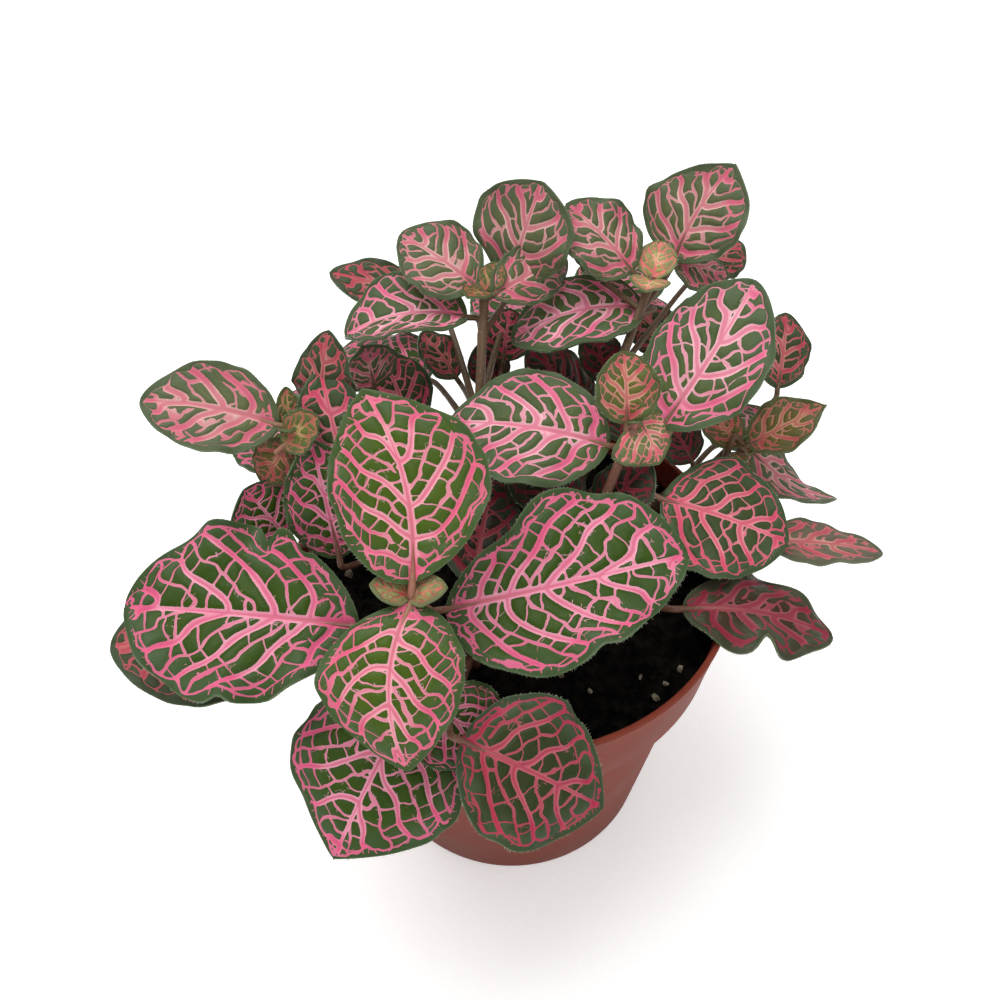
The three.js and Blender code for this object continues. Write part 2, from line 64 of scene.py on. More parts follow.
class Desk:  # one material's nodes, with short ways to add and join them
    def __init__(self, name, **settings):
        self.material = bpy.data.materials.new(name)
        self.material.use_nodes = True
        self.tree = self.material.node_tree
        self.shader = self.tree.nodes["Principled BSDF"]
        for key, value in settings.items():
            self.shader.inputs[key.replace("_", " ")].default_value = value

    def join(self, value, socket):
        if isinstance(value, bpy.types.NodeSocket):
            self.tree.links.new(value, socket)
        else:
            socket.default_value = value

    def add(self, kind, *values, **settings):
        node = self.tree.nodes.new(kind)
        for key, value in settings.items():
            setattr(node, key, value)
        for value, socket in zip(values, node.inputs):
            self.join(value, socket)
        return node

    def calc(self, operation, *values):
        return self.add("ShaderNodeMath", *values, operation=operation).outputs[0]

    def plus(self, first, second):
        return self.calc("ADD", first, second)

    def minus(self, first, second):
        return self.calc("SUBTRACT", first, second)

    def times(self, first, second):
        return self.calc("MULTIPLY", first, second)

    def line(self, value, slope, start):
        return self.calc("MULTIPLY_ADD", value, slope, start)

    def least(self, first, second):
        return self.calc("MINIMUM", first, second)

    def most(self, first, second):
        return self.calc("MAXIMUM", first, second)

    def size(self, value):
        return self.calc("ABSOLUTE", value)

    def joined(self, first, second, width):  # the lesser of two, rounded where they meet
        return self.calc("SMOOTH_MIN", first, second, width)

    def ease(self, value, low, high, start=0.0, end=1.0):
        node = self.add("ShaderNodeMapRange", value, low, high, start, end)
        node.interpolation_type = "SMOOTHSTEP"
        return node.outputs[0]

    def mix(self, share, first, second, blend="MIX"):
        node = self.add("ShaderNodeMix", share, data_type="RGBA", blend_type=blend)
        self.join(first, node.inputs[6])
        self.join(second, node.inputs[7])
        return node.outputs[2]

    def tint(self, colour, share):
        return self.mix(1.0, colour, (*share, 1), "MULTIPLY")

    def attribute(self, name, output="Vector"):
        return self.add("ShaderNodeAttribute", attribute_name=name).outputs[output]

    def split(self, vector):
        return self.add("ShaderNodeSeparateXYZ", vector).outputs

    def combine(self, *values):
        return self.add("ShaderNodeCombineXYZ", *values).outputs[0]

    def objectPlace(self):
        return self.add("ShaderNodeTexCoord").outputs["Object"]

    def noise(self, vector, scale, detail=2.0, roughness=0.5):
        node = self.add("ShaderNodeTexNoise")
        self.join(vector, node.inputs["Vector"])
        node.inputs["Scale"].default_value = scale
        node.inputs["Detail"].default_value = detail
        node.inputs["Roughness"].default_value = roughness
        return node.outputs["Fac"]

    def chance(self, vector):  # three random numbers, the same at every like vector
        return self.add("ShaderNodeTexWhiteNoise", vector).outputs["Color"]

    def cells(self, vector, scale, feature="F1"):
        node = self.add("ShaderNodeTexVoronoi", feature=feature)
        self.join(vector, node.inputs["Vector"])
        node.inputs["Scale"].default_value = scale
        return node.outputs["Distance"]

    def bump(self, height, distance, before=None):
        node = self.add("ShaderNodeBump")
        node.inputs["Strength"].default_value = 1
        node.inputs["Distance"].default_value = distance
        self.join(height, node.inputs["Height"])
        if before:
            self.join(before, node.inputs["Normal"])
        return node.outputs[0]

    def finish(self, colour, roughness, normal):
        self.join(colour, self.shader.inputs["Base Color"])
        self.join(roughness, self.shader.inputs["Roughness"])
        self.join(normal, self.shader.inputs["Normal"])
        return self.material


# The studio: a pale floor, soft light from above and behind, and the photograph's viewpoint.
studio = dict(
    cameraPlace=(0, -160.3, 273.2),  # mm
    cameraPitch=41.4,
    cameraTurn=0.934,
    lens=46.44,
    skyLight=0.5,
    keyPlace=(-400, 420, 1700),
    keySize=1700,
    keyPower=31,
    fillPlace=(300, -1300, 900),
    fillSize=900,
    fillPower=5,
    floorSize=6,  # m
    floorGlow=0.34,
)


def addLight(name, place, size, power):
    bpy.ops.object.light_add(type="AREA", location=[v * mm for v in place])
    light = bpy.context.object
    light.name = name
    light.data.size = size * mm
    light.data.energy = power
    towards = -light.location.normalized()
    light.rotation_euler = towards.to_track_quat("-Z", "Y").to_euler()


def makeStudio():
    deselectAll()
    bpy.ops.object.camera_add(
        location=[v * mm for v in studio["cameraPlace"]],
        rotation=(math.radians(studio["cameraPitch"]), 0, math.radians(studio["cameraTurn"])),
    )
    camera = bpy.context.object
    camera.name = "photoCamera"
    camera.data.lens = studio["lens"]
    camera.data.clip_start = 0.01
    bpy.context.scene.camera = camera
    addLight("windowLight", studio["keyPlace"], studio["keySize"], studio["keyPower"])
    addLight("roomLight", studio["fillPlace"], studio["fillSize"], studio["fillPower"])
    world = bpy.data.worlds.new("paleRoom")
    world.use_nodes = True
    world.node_tree.nodes["Background"].inputs["Color"].default_value = (1, 1, 1, 1)
    world.node_tree.nodes["Background"].inputs["Strength"].default_value = studio["skyLight"]
    bpy.context.scene.world = world
    bpy.context.scene.view_settings.view_transform = "Standard"

    bpy.ops.mesh.primitive_plane_add(size=studio["floorSize"])
    floor = bpy.context.object
    floor.name = "floor"
    desk = Desk("paleFloor", Specular_IOR_Level=0.2, Emission_Color=(1, 1, 1, 1))
    desk.shader.inputs["Emission Strength"].default_value = studio["floorGlow"]
    place = desk.objectPlace()
    colour = desk.mix(desk.noise(place, 3), (0.9, 0.9, 0.9, 1), (0.94, 0.94, 0.94, 1))
    roughness = desk.ease(desk.noise(place, 40), 0.3, 0.7, 0.75, 0.85)
    floor.data.materials.append(desk.finish(colour, roughness, desk.bump(desk.noise(place, 900), 0.0001)))


makeStudio()
print("studio ready")

# The pot, turned as one wall from the middle of its base out, up over the lip and back down inside.
pot = dict(
    height=72.7,
    baseRadius=30,
    neckRadius=38.5,
    lipLowRadius=41.3,
    lipTopRadius=43.8,
    lipHeight=16,
    wall=1.3,
    floor=1.8,
    drainHoles=6,
    drainRadius=3.2,
    drainCircle=19,
    sides=144,
    recess=0.5,  # of the groove in the base that leaves a ring to stand on
    recessFrom=5.6,  # in from the base's edge
    recessTo=3.2,
    recessLean=0.4,  # of the groove's sides
    heel=1.6,
    heelFlare=0.2,
    neckRounding=(0.4, 0.6),  # how far in and how far down it starts
    lipEdge=((-0.5, 0), (-0.1, 0.15), (0.05, 0.6)),  # out from the lip's low radius, up from its underside
    smoothUnder=40,  # degrees
)


def potRings():  # (radius, height) of each ring
    base, wall, recess, heel = (pot[key] for key in ("baseRadius", "wall", "recess", "heel"))
    neck = pot["height"] - pot["lipHeight"]
    low, top, deep = pot["lipLowRadius"], pot["lipTopRadius"], pot["lipHeight"]
    lean = pot["recessLean"]
    rings = [(base - pot["recessFrom"] - lean, 0), (base - pot["recessFrom"], recess)]
    rings += [(base - pot["recessTo"], recess), (base - pot["recessTo"] + lean, 0), (base - heel, 0)]
    for turn in (30, 60, 90):
        angle = math.radians(turn)
        out = (heel + pot["heelFlare"]) * math.sin(angle)
        rings.append((base - heel + out, heel - heel * math.cos(angle)))
    for share in (0.3, 0.6, 0.9):
        rings.append((base + (pot["neckRadius"] - base) * share, neck * share))
    inward, down = pot["neckRounding"]
    rings += [(pot["neckRadius"] - inward, neck - wall - down), (pot["neckRadius"], neck - wall)]
    rings += [(low + out, neck - wall + up) for out, up in pot["lipEdge"]]
    for share in (0.35, 0.7, 0.93):
        rings.append((low + (top - low) * share, neck + deep * share))
    for turn in (0, 45, 90, 135, 180):
        angle = math.radians(turn)
        middle = top - wall / 2
        rings.append((middle + wall / 2 * math.cos(angle), pot["height"] - wall / 2 * (1 - math.sin(angle))))
    for share in (0.6, 0.25):
        rings.append((low - wall + (top - low) * share, neck + deep * share))
    rings += [(low - wall, neck + 0.3), (pot["neckRadius"] - wall, neck)]
    rings += [(pot["neckRadius"] - wall - 0.1, neck - 1), (base - wall + 0.3, pot["floor"] + 0.8)]
    return rings + [(base - wall - 0.6, pot["floor"]), (pot["drainRadius"], pot["floor"])]


def potMaterial():
    desk = Desk("terracottaPlastic", Specular_IOR_Level=0.12)
    place = desk.objectPlace()
    height = desk.split(place)[2]
    worn = desk.noise(place, 60, 4)
    base = desk.mix(desk.ease(worn, 0.35, 0.7), (0.163, 0.029, 0.015, 1), (0.187, 0.037, 0.021, 1))
    dusty = desk.times(desk.ease(desk.noise(place, 350, 5), 0.55, 0.75), 0.15)
    colour = desk.mix(dusty, base, (0.27, 0.083, 0.052, 1))
    # Painted shade: the wall darkens towards the base.
    low = desk.ease(height, 0.0, 0.03, 0.35, 0.0)
    colour = desk.mix(low, colour, (0.10, 0.020, 0.011, 1))
    roughness = desk.ease(worn, 0.3, 0.7, 0.5, 0.62)
    grain = desk.bump(desk.noise(place, 2600, 3), 0.00005)
    return desk.finish(colour, roughness, desk.bump(desk.noise(place, 60, 1), 0.0001, grain))


def makePot():
    rings = potRings()
    deselectAll()
    first = rings[0][0] * mm
    bpy.ops.mesh.primitive_circle_add(vertices=pot["sides"], radius=first, fill_type="NGON")
    piece = bpy.context.object
    piece.name = piece.data.name = "potShell"
    bpy.ops.object.mode_set(mode="EDIT")
    bpy.ops.mesh.select_all(action="SELECT")
    bpy.ops.mesh.region_to_loop()
    for (radius, height), (nextRadius, nextHeight) in zip(rings, rings[1:]):
        bpy.ops.mesh.extrude_edges_move(
            TRANSFORM_OT_translate={"value": (0, 0, (nextHeight - height) * mm)}
        )
        share = nextRadius / radius
        bpy.ops.transform.resize(value=(share, share, 1), center_override=(0, 0, nextHeight * mm))
    bpy.ops.mesh.edge_face_add()
    bpy.ops.mesh.select_all(action="SELECT")
    bpy.ops.mesh.normals_make_consistent(inside=False)
    bpy.ops.object.mode_set(mode="OBJECT")
    for i in range(pot["drainHoles"]):
        angle = 2 * math.pi * i / pot["drainHoles"]
        place = (pot["drainCircle"] * mm * math.cos(angle), pot["drainCircle"] * mm * math.sin(angle), 0)
        bpy.ops.mesh.primitive_cylinder_add(
            vertices=28, radius=pot["drainRadius"] * mm, depth=4 * pot["floor"] * mm, location=place
        )
        drill = bpy.context.object
        pick(piece)
        cut = piece.modifiers.new("drainHole", "BOOLEAN")
        cut.operation = "DIFFERENCE"
        cut.object = drill
        bpy.ops.object.modifier_apply(modifier=cut.name)
        bpy.data.objects.remove(drill)
    bpy.ops.object.shade_smooth_by_angle(angle=math.radians(pot["smoothUnder"]))
    piece.data.materials.clear()
    piece.data.materials.append(potMaterial())
    settle(piece, "pot")


makePot()
print("pot turned")


def leafyStem(name, foot, bud, budHeading, budLook, *leaves, **budShape):
    plan = dict(name=name, foot=foot, bud=bud, budHeading=budHeading, budLook=budLook)
    return dict(plan, leaves=list(leaves), budShape=budShape)


def leafAt(at, base, tip, width, **form):
    return dict(at=at, base=base, tip=tip, width=width, **form)


# Each leafy stem: where it leaves the soil, where it ends, the heading and look of its pair of bud leaves,
# and its leaves, in millimetres and degrees. A leaf has how far up the stem its stalk leaves it, its base,
# tip and width, and its form. Roll turns the blade about the line from base to tip, twist winds it along
# that line, arch bends it along the midrib, fold lifts its halves, sweep bows its midrib to the right, and
# wave ripples its edges, crests times from phase on. A larger peak moves its widest place towards the tip,
# slant does so on the right and the opposite on the left, skew makes the right half the wider one, and point
# draws the tip out. A dent has its place along the midrib, its side, its depth and its length, as shares.
leafyStems = [
    leafyStem(
        "stem_front", (-7, -21), (-17.5, -28.5, 99), 178, "bud",
        leafAt(0.97, (-17, -27.5, 101), (-26.5, 1, 119), 27.5, roll=-4, arch=24, fold=6, sweep=3,
            skew=0.06, wave=0.7, crests=1.5, phase=1, point=0.3, look="bright"),
        leafAt(0.96, (-17, -30, 99), (-17, -53, 83), 25, arch=55, fold=-12, sweep=3.2, phase=1.5,
            peak=0.85, point=0.25, look="bright"),
        leafAt(0.84, (-27, -27, 88), (-70, -22, 86), 33.5, roll=-22, arch=20, fold=4, wave=2, crests=3,
            phase=2, peak=1.05, ruffle=0.8,
            dents=[(0.42, 1, 0.16, 0.035), (0.27, 1, 0.12, 0.03), (0.5, -1, 0.1, 0.04)]),
        leafAt(0.84, (-12, -23, 88), (32, -11.5, 90), 33.5, roll=16, arch=22, fold=4, sweep=1, wave=1.8,
            phase=0.3, peak=0.95, slant=-0.3, skew=-0.05, ruffle=0.5,
            dents=[(0.3, -1, 0.16, 0.09), (0.55, 1, 0.06, 0.04)]),
        leafAt(0.62, (-17.5, -36, 79), (-31, -58, 61), 33, roll=-8, arch=25, fold=-6, wave=1.2, peak=0.85,
            point=0.3),
        leafAt(0.6, (-14, -36, 82), (-4.5, -46, 73.5), 18, roll=14, arch=35, fold=-8),
        leafAt(0.4, (-8.5, -45.5, 81), (16.5, -50.5, 67), 27, roll=24, arch=30, wave=0.9, phase=1,
            peak=0.85, point=0.3, look="deep"),
        leafAt(0.4, (-40, -20, 75), (-76, -21, 72), 27, roll=-14, wave=1, phase=1, look="duskyInShade"),
        leafAt(0.62, (-8, -6, 73), (-4.5, 15.5, 81), 17, roll=10, phase=1, look="inner"),
    ),
    leafyStem(
        "stem_left", (-24, 6), (-43, 13, 96), 100, "olive",
        leafAt(0.96, (-45, 12.6, 98), (-71.5, 15.2, 101.5), 18.5, roll=-24, fold=4, sweep=0.8, wave=0.5,
            look="pale"),
        leafAt(0.9, (-37, 16.5, 98), (-34.9, 21.6, 114), 12.5, roll=10, arch=50, fold=-12, phase=1,
            peak=0.6, look="duskyInShade"),
        leafAt(0.7, (-30.5, 1, 88), (-37, 19, 107), 15, roll=-10, arch=35, wave=1, phase=2, look="shaded"),
        leafAt(0.35, (-33.5, -4.5, 79), (-38, 6.5, 100), 16, roll=-4, fold=-4, phase=1),
        leafAt(0.5, (-44.5, 1.5, 77), (-52, 5, 88), 18, roll=-20, arch=30, wave=0.6, look="mature"),
        leafAt(0.97, (-43, 11.5, 95), (-49, 7.5, 87), 9.5, roll=-40, wave=0.4, look="orange"),
        leafAt(0.97, (-43.5, 7, 98), (-36.5, 9, 104), 9, roll=20, wave=0.3, look="olive"),
        leafAt(0.7, (-29.5, 34.5, 87), (-31, 37, 96.5), 14, roll=10, wave=0.4, look="pale"),
        leafAt(0.6, (-36, 17, 80), (-60, 33, 76), 20, arch=30),
        leafAt(0.6, (-33, 20, 82), (-48, 43, 78), 17, arch=30, phase=2),
        length=8.5, width=5, rise=45,
    ),
    leafyStem(
        "stem_back_left", (-8, 16), (-6.5, 46, 104), 60, "olive",
        leafAt(0.97, (-8, 47, 104), (-24, 55, 111), 18, roll=-15, arch=25, fold=2, wave=0.7, look="pale"),
        leafAt(0.97, (-5, 44.5, 104), (10.5, 59.5, 102), 12.5, roll=34, arch=35, fold=-4, wave=0.6,
            look="pale"),
        leafAt(0.85, (-1.5, 53, 99), (5, 60.6, 120), 24.5, roll=4, fold=6, phase=1, peak=1.25,
            look="pale"),
        leafAt(0.85, (-10, 43.5, 99), (-35.4, 41, 95.5), 20, arch=60, fold=18, wave=0.6, look="fresh"),
        leafAt(0.6, (-19, 61, 88), (-41.5, 66, 92), 12, roll=-20, arch=30, wave=0.6, look="duskyInShade"),
        leafAt(0.4, (-22, 34, 76), (-28.5, 44.5, 88), 15, roll=-10, look="shaded"),
        leafAt(0.5, (-2.8, 47.5, 83), (-1.4, 54.5, 92), 12, roll=10, look="shaded"),
        leafAt(0.62, (-3, 52, 88), (4, 78, 82), 17, arch=35),
        leafAt(0.55, (-19, 46, 79), (-39, 61, 75), 18, arch=30, phase=2),
        leafAt(0.6, (-12.7, 44.2, 81), (-20.5, 51.1, 88), 11, roll=10, wave=0.4, look="duskyInShade"),
        leafAt(0.5, (-3.8, 44, 79), (-8.2, 49.5, 86), 10, roll=-10, wave=0.4, look="inner"),
    ),
    leafyStem(
        "stem_back_right", (12, 16), (28, 50.5, 104), 75, "newBud",
        leafAt(0.97, (24, 51, 105), (10, 59, 116), 19, roll=-8, arch=25, look="pale"),
        leafAt(0.88, (33, 57.5, 103), (44.4, 66.1, 121), 24, roll=6, fold=4, sweep=-1, phase=1, peak=0.85,
            slant=0.2, point=0.2, look="pale"),
        leafAt(0.97, (33, 58, 102), (45, 57, 99), 12, roll=10, arch=35, fold=-8, wave=0.5, look="pale"),
        leafAt(0.88, (26.8, 48.1, 98), (-1, 46, 90.5), 20.5, roll=-4, arch=60, fold=10, skew=-0.16,
            wave=0.5, look="fresh"),
        leafAt(0.7, (40.5, 65.5, 94), (50, 73, 96), 12, roll=10, arch=30, fold=-8, wave=0.5, look="duskyInShade"),
        leafAt(0.5, (16.5, 40, 76), (2.5, 48.5, 86), 17, fold=-8, wave=0.5, look="inner"),
        leafAt(0.7, (26, 57, 90), (20, 81, 84), 21, arch=35, phase=1),
        leafAt(0.6, (33, 50, 88), (57, 60, 82), 20, arch=35, phase=2),
        leafAt(0.9, (18, 53.5, 102), (12.5, 60.5, 107), 8, wave=0.4, look="olive"),
        leafAt(0.6, (33, 46.2, 86), (27, 56.1, 92), 13, wave=0.5, phase=1, look="duskyInShade"),
        leafAt(0.5, (20, 44, 80), (16.6, 55.1, 87), 10, wave=0.4, look="inner"),
        leafAt(0.35, (23, 24, 82), (24, 35, 90), 15, wave=0.5, phase=1, look="inner"),
        leafAt(0.6, (29.4, 37.5, 84), (26.2, 42, 90), 8, wave=0.3, look="inner"),
        length=9, width=8.5, rise=20,
    ),
    leafyStem(
        "stem_back_low", (3, 31), (7, 55, 84), 20, "bud",
        leafAt(0.95, (8, 58, 83), (10, 83, 76), 22, arch=35),
        leafAt(0.95, (14, 62, 80), (36, 78, 74), 15, arch=30, phase=2),
        leafAt(0.8, (1, 60, 78), (-8, 84, 72), 14, arch=35, phase=1),
    ),
    leafyStem(
        "stem_middle", (13, 1), (23, 15, 96), 90, "orange",
        leafAt(0.97, (21.5, 15, 97), (20.5, 23.5, 108), 13, roll=2, arch=35, fold=14, wave=0.4,
            look="young"),
        leafAt(0.97, (23.8, 16.8, 96.5), (28.3, 12, 88.8), 17, arch=35, fold=-10, wave=0.5, peak=0.75,
            point=0.3, look="youngPale"),
        leafAt(0.88, (28.5, 18, 93), (47, 40, 112), 24, roll=6, arch=18, fold=4, sweep=1, wave=0.9,
            phase=2, look="fresh"),
        leafAt(0.88, (18.5, 14, 92), (-13, 20.5, 91), 25, roll=-20, arch=50, look="fresh"),
        leafAt(0.6, (11, 10, 76), (2, 20, 86), 18, wave=0.9, phase=1, look="inner"),
        leafAt(0.5, (17, 6, 80), (27, 14, 87), 13, wave=0.6, phase=2, look="inner"),
        length=4, width=3.2, rise=60,
    ),
    leafyStem(
        "stem_right", (30, 19), (46.5, 21.5, 82), 60, "olive",
        leafAt(0.97, (47.5, 22.9, 83), (62.7, 27, 91), 12, roll=14, arch=10, fold=10, wave=0.5, point=0.5,
            look="orange"),
        leafAt(0.97, (46, 22.8, 83), (38.9, 30.2, 87), 9, roll=-10, arch=10, wave=0.3, look="orange"),
        leafAt(0.85, (46.1, 23.3, 84), (67.2, 18.7, 72), 12, twist=-85, arch=-50, wave=0.5, look="pale"),
        leafAt(0.7, (55.5, 38.9, 84), (57, 50.5, 95), 12.5, roll=20, look="duskyInShade"),
        leafAt(0.5, (43, 30, 76), (59, 44, 70), 17, arch=30, phase=1),
        leafAt(0.7, (36.5, 21, 80), (31.5, 26.5, 86), 11, wave=0.4, look="inner"),
        length=5, width=4,
    ),
    leafyStem(
        "stem_right_low", (20, -5), (26, 5, 79), 120, "inner",
        leafAt(0.95, (28.9, 7.4, 84), (53.5, 0.5, 79), 26, roll=16, arch=30, fold=-4, wave=0.9, phase=1,
            look="shaded"),
        leafAt(0.7, (47, 2.9, 76.5), (75.5, 7.1, 68.5), 12.5, roll=-6, arch=10, sweep=-0.8, wave=0.5,
            look="pink"),
        leafAt(0.3, (32.2, -13.3, 76), (62.5, -13.1, 67), 18, roll=6, arch=30, fold=-6, sweep=-1.2,
            wave=1.6, crests=2.5, dents=[(0.5, 1, 0.4, 0.05)], look="red"),
        length=4, width=3.2,
    ),
]

leafDefaults = dict(roll=0, twist=0, arch=20, fold=0, sweep=0, wave=0.8, crests=2, phase=0)
leafDefaults |= dict(peak=0.9, slant=0, skew=0, point=0, ruffle=0.25, ruffles=4.5, dents=(), look="mature")
budLeaf = dict(length=7, width=6.5, rise=22, arch=20, fold=8, wave=0.15, sunk=0.5)

# Linear colours of the green between the veins and of the veins. Bold widens the veins by that many
# millimetres, and sparse spreads out the small ones.
# Painted shade: the shaded, deep, inner and dusky looks are darker copies for leaves that lie in shadow.
looks = dict(
    mature=dict(cell=(0.028, 0.060, 0.005), vein=(0.62, 0.14, 0.23), bold=0.06, sparse=1.1),
    bright=dict(cell=(0.044, 0.082, 0.005), vein=(0.64, 0.15, 0.22), bold=0.06),
    fresh=dict(cell=(0.060, 0.088, 0.030), vein=(0.66, 0.19, 0.27), bold=0.25, sparse=1.8),
    shaded=dict(cell=(0.034, 0.052, 0.016), vein=(0.56, 0.10, 0.15), bold=0.18, sparse=1.4),
    deep=dict(cell=(0.024, 0.034, 0.010), vein=(0.36, 0.045, 0.075), bold=0.05, sparse=1.3),
    duskyInShade=dict(cell=(0.034, 0.042, 0.016), vein=(0.42, 0.09, 0.10), bold=0.25, sparse=2.5),
    pale=dict(cell=(0.086, 0.104, 0.046), vein=(0.56, 0.18, 0.21), bold=0.35, sparse=4),
    inner=dict(cell=(0.014, 0.012, 0.006), vein=(0.18, 0.02, 0.03), bold=0.2, sparse=2),
    olive=dict(cell=(0.090, 0.110, 0.022), vein=(0.36, 0.15, 0.08), sparse=2),
    young=dict(cell=(0.105, 0.115, 0.022), vein=(0.52, 0.15, 0.13), bold=0.3, sparse=1.5),
    youngPale=dict(cell=(0.160, 0.190, 0.070), vein=(0.72, 0.23, 0.22), bold=0.35, sparse=1.5),
    orange=dict(cell=(0.105, 0.090, 0.020), vein=(0.42, 0.13, 0.10), bold=0.2, sparse=2.5),
    bud=dict(cell=(0.270, 0.250, 0.100), vein=(0.48, 0.10, 0.08), bold=-0.32, sparse=2),
    newBud=dict(cell=(0.300, 0.300, 0.110), vein=(0.62, 0.22, 0.16), sparse=2),
    pink=dict(cell=(0.125, 0.100, 0.070), vein=(0.46, 0.13, 0.13), bold=0.3, sparse=3),
    red=dict(cell=(0.034, 0.018, 0.009), vein=(0.22, 0.03, 0.045), bold=0.35, sparse=3),
)

blade = dict(
    thickness=0.45,
    grid=0.6,  # mm between the blade's points
    fullLength=42,  # of the blades that have the net at full size
    smallestNet=0.3,
    largestNet=1.05,
    roundness=0.62,
    foldNarrows=0.8,
    foldCurve=1.35,
    waveEase=5.2,
    waveShift=2.1,
    ribGroove=0.6,
    ribGrooveFades=0.6,  # the share of its depth that it loses towards the tip
    sideGroove=0.42,
    sideGrooveWidth=0.8,
    sideGrooveStarts=(1.2, 3.5),  # mm in from the edge
    longerAlong=1.1,  # a blade's length along its arch, for its grid
    mergeUnder=0.02,
    smoothUnder=50,  # degrees
)


def curl(values, low, high):  # smoothstep
    share = np.clip((values - low) / (high - low), 0, 1)
    return share * share * (3 - 2 * share)


def halfWidth(leaf, u, t):  # of the half that t is on
    inside = np.clip(u, 0, 1)
    plain = np.sin(np.pi * inside ** (leaf["peak"] + leaf["slant"] * t)).clip(0)
    plain = plain ** (blade["roundness"] + leaf["point"] * inside**2)
    shift = leaf["seed"] + 2 * np.sign(t)
    uneven = 0.014 * np.sin(19 * u + shift) + 0.010 * np.sin(33 * u + 3 * shift)
    for place, side, depth, width in leaf["dents"]:
        uneven = uneven - depth * np.exp(-(((u - place) / width) ** 2)) * (np.sign(t) == side) * np.abs(t)
    return leaf["width"] / 2 * plain * (1 + uneven * np.abs(t))


def bladePoints(leaf, u, t):  # the middle surface at u along the midrib and t across it
    base = np.array(leaf["base"], float)
    reach = np.array(leaf["tip"], float) - base
    chord = np.linalg.norm(reach)
    along = reach / chord
    flatUp = np.array([0, 0, 1]) - along * along[2]
    flatUp /= np.linalg.norm(flatUp)
    roll = np.radians(leaf["roll"] + leaf["twist"] * (u - 0.5))[:, None]
    up = flatUp * np.cos(roll) + np.cross(along, flatUp) * np.sin(roll)
    right = np.cross(along, up)
    turn = math.radians(leaf["arch"])
    radius = chord / (2 * math.sin(turn / 2))
    angle = turn / 2 - turn * u
    face = np.outer(-np.sin(angle), along) + np.cos(angle)[:, None] * up
    half = halfWidth(leaf, u, t)
    fold = math.radians(leaf["fold"])
    side = half * (t + leaf["skew"] * t * t) * math.cos(blade["foldNarrows"] * fold)
    side += leaf["sweep"] * 4 * u * (1 - u)
    phase = leaf["phase"] + np.where(t < 0, blade["waveShift"], 0)
    ease = np.clip(blade["waveEase"] * u * (1 - u), 0, 1)
    wave = leaf["wave"] * ease * t * t * np.sin(2 * np.pi * leaf["crests"] * u + phase)
    turns = 2 * np.pi * leaf["ruffles"] * u
    wave += leaf["ruffle"] * ease * t**4 * np.sin(turns + 2 * phase + leaf["seed"])
    lift = half * np.abs(t) ** blade["foldCurve"] * math.sin(fold) + wave
    points = base + np.outer(radius * (math.sin(turn / 2) - np.sin(angle)), along)
    points += (radius * (np.cos(angle) - math.cos(turn / 2)))[:, None] * up
    return points + right * side[:, None] + face * lift[:, None]


def bladeNormals(leaf, u, t, step=0.02):
    inner = np.clip(u, 2 * step, 1 - 2 * step)
    lengthwise = bladePoints(leaf, inner + step, t) - bladePoints(leaf, inner - step, t)
    crosswise = bladePoints(leaf, inner, t + step) - bladePoints(leaf, inner, t - step)
    normals = np.cross(crosswise, lengthwise)
    return normals / np.linalg.norm(normals, axis=1)[:, None]


veins = dict(
    leanAtBase=0.1,  # how much the lowest side veins lean to the tip as they leave the midrib
    leanMore=1.5,  # how much more the last ones lean
    bend=0.2,  # how far they have bent towards the tip at the edge, in blade lengths
    crowding=0.35,  # the smaller, the closer together they leave the midrib near the base
    stagger=0.4,  # how far the two sides are out of step
)

# The net of veins in the leaf materials, in mm on the largest blades.
net = dict(
    sideHalf=(0.62, 0.38),  # half a side vein's width at the midrib and at the edge
    forkGap=4.2,  # where two side veins are this far apart, another runs between them
    forkHalf=0.3,
    rungGap=3.7,  # between the small veins that cross from one side vein to the next
    rungHalf=0.10,  # half the width of the thinnest of these
    rungVaries=0.18,
    stripShift=3.17,  # keeps the small veins of neighbouring strips out of line
    loopInset=1.05,  # how far in from the edge the side veins are joined by loops, half way along each loop
    loopBow=0.9,
    loopHalf=0.25,
    ribHalf=(0.85, 0.33),  # at the blade's base and at its tip
    ribInset=1.3,
    spursPerMm=0.62,
    boldHasFewer=0.65,  # how much thinner the loops and threads are for each mm that the veins are bolder
)

# What each part of a vein multiplies its leaf's vein colour by.
veinTints = dict(
    outer=(1.08, 0.75, 0.95),
    inner=(1.17, 1.92, 1.58),
    rim=(1.28, 3.05, 2.28),
    core=(0.85, 0.5, 0.66),
    small=(0.85, 0.85, 0.85),
)


def veinCount(length):
    return 2.3 + 0.038 * length


def sideVeins(leaf, u, t, length):  # how many side veins lie between a point and the blade's base
    out = halfWidth(leaf, u, t) * np.abs(t)
    bent = veins["bend"] * (2 * out / leaf["width"]) ** 2 * (0.3 + 0.7 * curl(u, 0, 0.45))
    start = (u - veins["leanAtBase"] * out / length - bent) / (1 + veins["leanMore"] * out / length)
    wander = 0.10 * np.sin(5 * u + 3 * t + leaf["seed"]) + 0.06 * np.sin(11 * t - 7 * u + 2 * leaf["seed"])
    passed = veinCount(length) * np.log(1 + np.maximum(start, -0.1) / veins["crowding"])
    passed += wander + leaf["seed"] % 1
    return passed + veins["stagger"] * (1 + np.tanh(8 * t)) / 2


